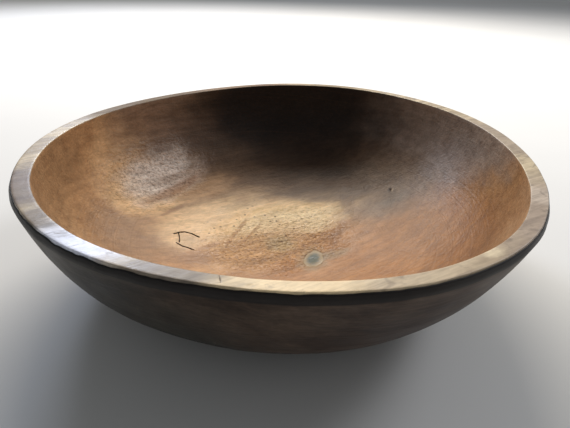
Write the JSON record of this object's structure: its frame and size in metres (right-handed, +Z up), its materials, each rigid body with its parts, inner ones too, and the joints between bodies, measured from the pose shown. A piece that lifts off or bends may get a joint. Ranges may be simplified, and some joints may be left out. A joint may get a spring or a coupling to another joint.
{
  "type": "wooden bowl",
  "caption": "Wide shallow wooden bowl, hollowed from one block, with a flat bare rim, a dark coated outside and a flat foot; holds food or dough on a table.",
  "frame": {"origin": "middle of the flat foot, on the surface that the bowl stands on", "axes": "+Z up out of the mouth, +X along the grain and the long way across the oval"},
  "size_m": [0.3842, 0.3618, 0.106],
  "materials": {
    "bare_wood": "worn, oiled, satin, golden brown with dark smoky patches; pale dry grey-tan rim",
    "dark_coat": "thin worn black-brown paint on wood, satin",
    "knot_wood": "grey-green knot wood, worn smooth, satin"
  },
  "bodies": {
    "root": {"bowl_body": "bare_wood", "outer_coat": "dark_coat", "floor_knot": "knot_wood"}
  },
  "joints": []
}
